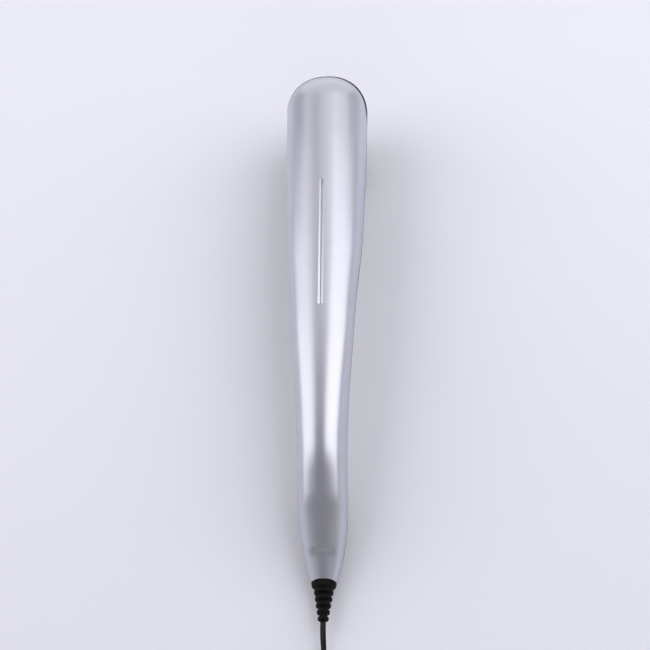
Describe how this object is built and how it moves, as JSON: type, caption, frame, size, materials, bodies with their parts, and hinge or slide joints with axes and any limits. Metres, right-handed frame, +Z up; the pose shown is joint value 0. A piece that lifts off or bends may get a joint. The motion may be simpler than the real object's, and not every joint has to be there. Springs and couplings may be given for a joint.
{
  "type": "massage hammer",
  "caption": "Long handheld percussion massage hammer with a satin silver back, black front and round rubber massage head.",
  "frame": {"origin": "under the middle of the housing, on the surface it lies on", "axes": "+Z up, +Y from the cord end to the head, +X to the right of the handle"},
  "size_m": [0.0834, 0.6366, 0.0791],
  "materials": {
    "silver_paint": "satin",
    "black_abs": "fine texture",
    "zinc_steel": "zinc plated",
    "ground_steel": "ground",
    "black_rubber": "matte",
    "sintered_bronze": "sintered",
    "grey_nylon": "moulded",
    "motor_iron": "bare",
    "cast_aluminium": "cast",
    "gloss_black": "gloss",
    "grey_button": "satin",
    "dark_button": "satin",
    "clear_lens": "clear",
    "green_laminate": "solder mask",
    "capacitor_sleeve": "sleeve",
    "black_cable": "satin",
    "adapter_plastic": "fine texture"
  },
  "bodies": {
    "root": {"rear_shell": "silver_paint", "front_shell": "black_abs", "housing_screws": "zinc_steel", "neck_seal": "black_rubber", "guide_bush": "sintered_bronze", "motor_magnets": "motor_iron", "motor_can": "zinc_steel", "motor_bush": "sintered_bronze", "motor_end_cap": "black_abs", "motor_terminals": "sintered_bronze", "motor_screws": "zinc_steel", "motor_damper": "black_rubber", "chassis": "cast_aluminium", "chassis_screws": "zinc_steel", "button_panel": "gloss_black", "light_pipes": "clear_lens", "key_switches": "dark_button", "status_leds": "clear_lens", "control_board": "green_laminate", "board_screws": "zinc_steel", "capacitor": "capacitor_sleeve", "motor_driver": "gloss_black", "motor_leads": "black_cable", "supply_leads": "black_cable", "cord_inside": "black_cable", "cord_clamp": "grey_nylon", "clamp_screws": "zinc_steel", "strain_relief": "black_rubber", "cord": "black_cable", "cord_coil": "black_cable", "cord_end": "black_cable", "adapter_relief": "black_rubber", "adapter_case": "adapter_plastic", "adapter_pins": "ground_steel"},
    "crank": {"crank": "zinc_steel", "crank_screw": "zinc_steel", "motor_shaft": "ground_steel", "motor_rotor": "motor_iron"},
    "rod": {"connecting_rod": "grey_nylon", "rod_bearing": "ground_steel"},
    "hammer": {"plunger": "ground_steel", "wrist_pin": "ground_steel", "massage_core": "black_abs", "core_screw": "zinc_steel", "massage_pad": "black_rubber"},
    "power_key": {"power_button": "grey_button"},
    "faster_key": {"faster_button": "dark_button"},
    "slower_key": {"slower_button": "dark_button"}
  },
  "joints": [
    {"name": "crank_spin", "type": "hinge", "parent": "root", "child": "crank", "pos_m": [0, 0.142, 0.053], "axis": [0, 1, 0], "continuous": true},
    {"name": "rod_swing", "type": "hinge", "parent": "crank", "child": "rod", "pos_m": [0, 0.159, 0.0545], "axis": [0, 1, 0], "continuous": true},
    {"name": "hammer_stroke", "type": "slide", "parent": "root", "child": "hammer", "axis": [0, 0, -1], "range_m": [0, 0.003]},
    {"name": "power_press", "type": "slide", "parent": "root", "child": "power_key", "axis": [0, 0.0014, 1], "range_m": [0, 0.0007], "stiffness_N_per_m": 900},
    {"name": "faster_press", "type": "slide", "parent": "root", "child": "faster_key", "axis": [0, 0.0014, 1], "range_m": [0, 0.0007], "stiffness_N_per_m": 900},
    {"name": "slower_press", "type": "slide", "parent": "root", "child": "slower_key", "axis": [0, 0.0014, 1], "range_m": [0, 0.0007], "stiffness_N_per_m": 900}
  ],
  "couplings": [
    {"joint": "rod_swing", "follows": "crank_spin", "ratio": -1}
  ]
}
